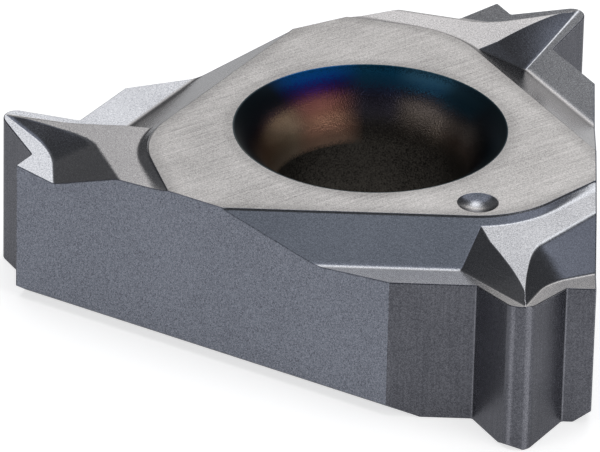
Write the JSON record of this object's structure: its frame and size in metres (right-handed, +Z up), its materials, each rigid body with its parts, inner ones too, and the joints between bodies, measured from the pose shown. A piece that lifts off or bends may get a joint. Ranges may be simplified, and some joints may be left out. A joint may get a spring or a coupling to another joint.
{
  "type": "threading insert",
  "caption": "Triangular laydown insert for cutting external screw threads: ground sixty-degree teeth at its corners, a pressed chip breaker and a countersunk hole.",
  "frame": {"origin": "middle of the plan box, on the seat face; the hole's axis is 1.504 mm along +X and 0.014 mm along +Y from it", "axes": "+Z up along the hole's axis, from the seat face to the top land; -Y along the first tooth; +X out of the side face beside that tooth"},
  "size_m": [0.0126, 0.014, 0.0037],
  "materials": {
    "coated_carbide": "thin dark grey coating on cemented carbide, satin"
  },
  "bodies": {
    "root": {"insert_body": "coated_carbide"}
  },
  "joints": []
}
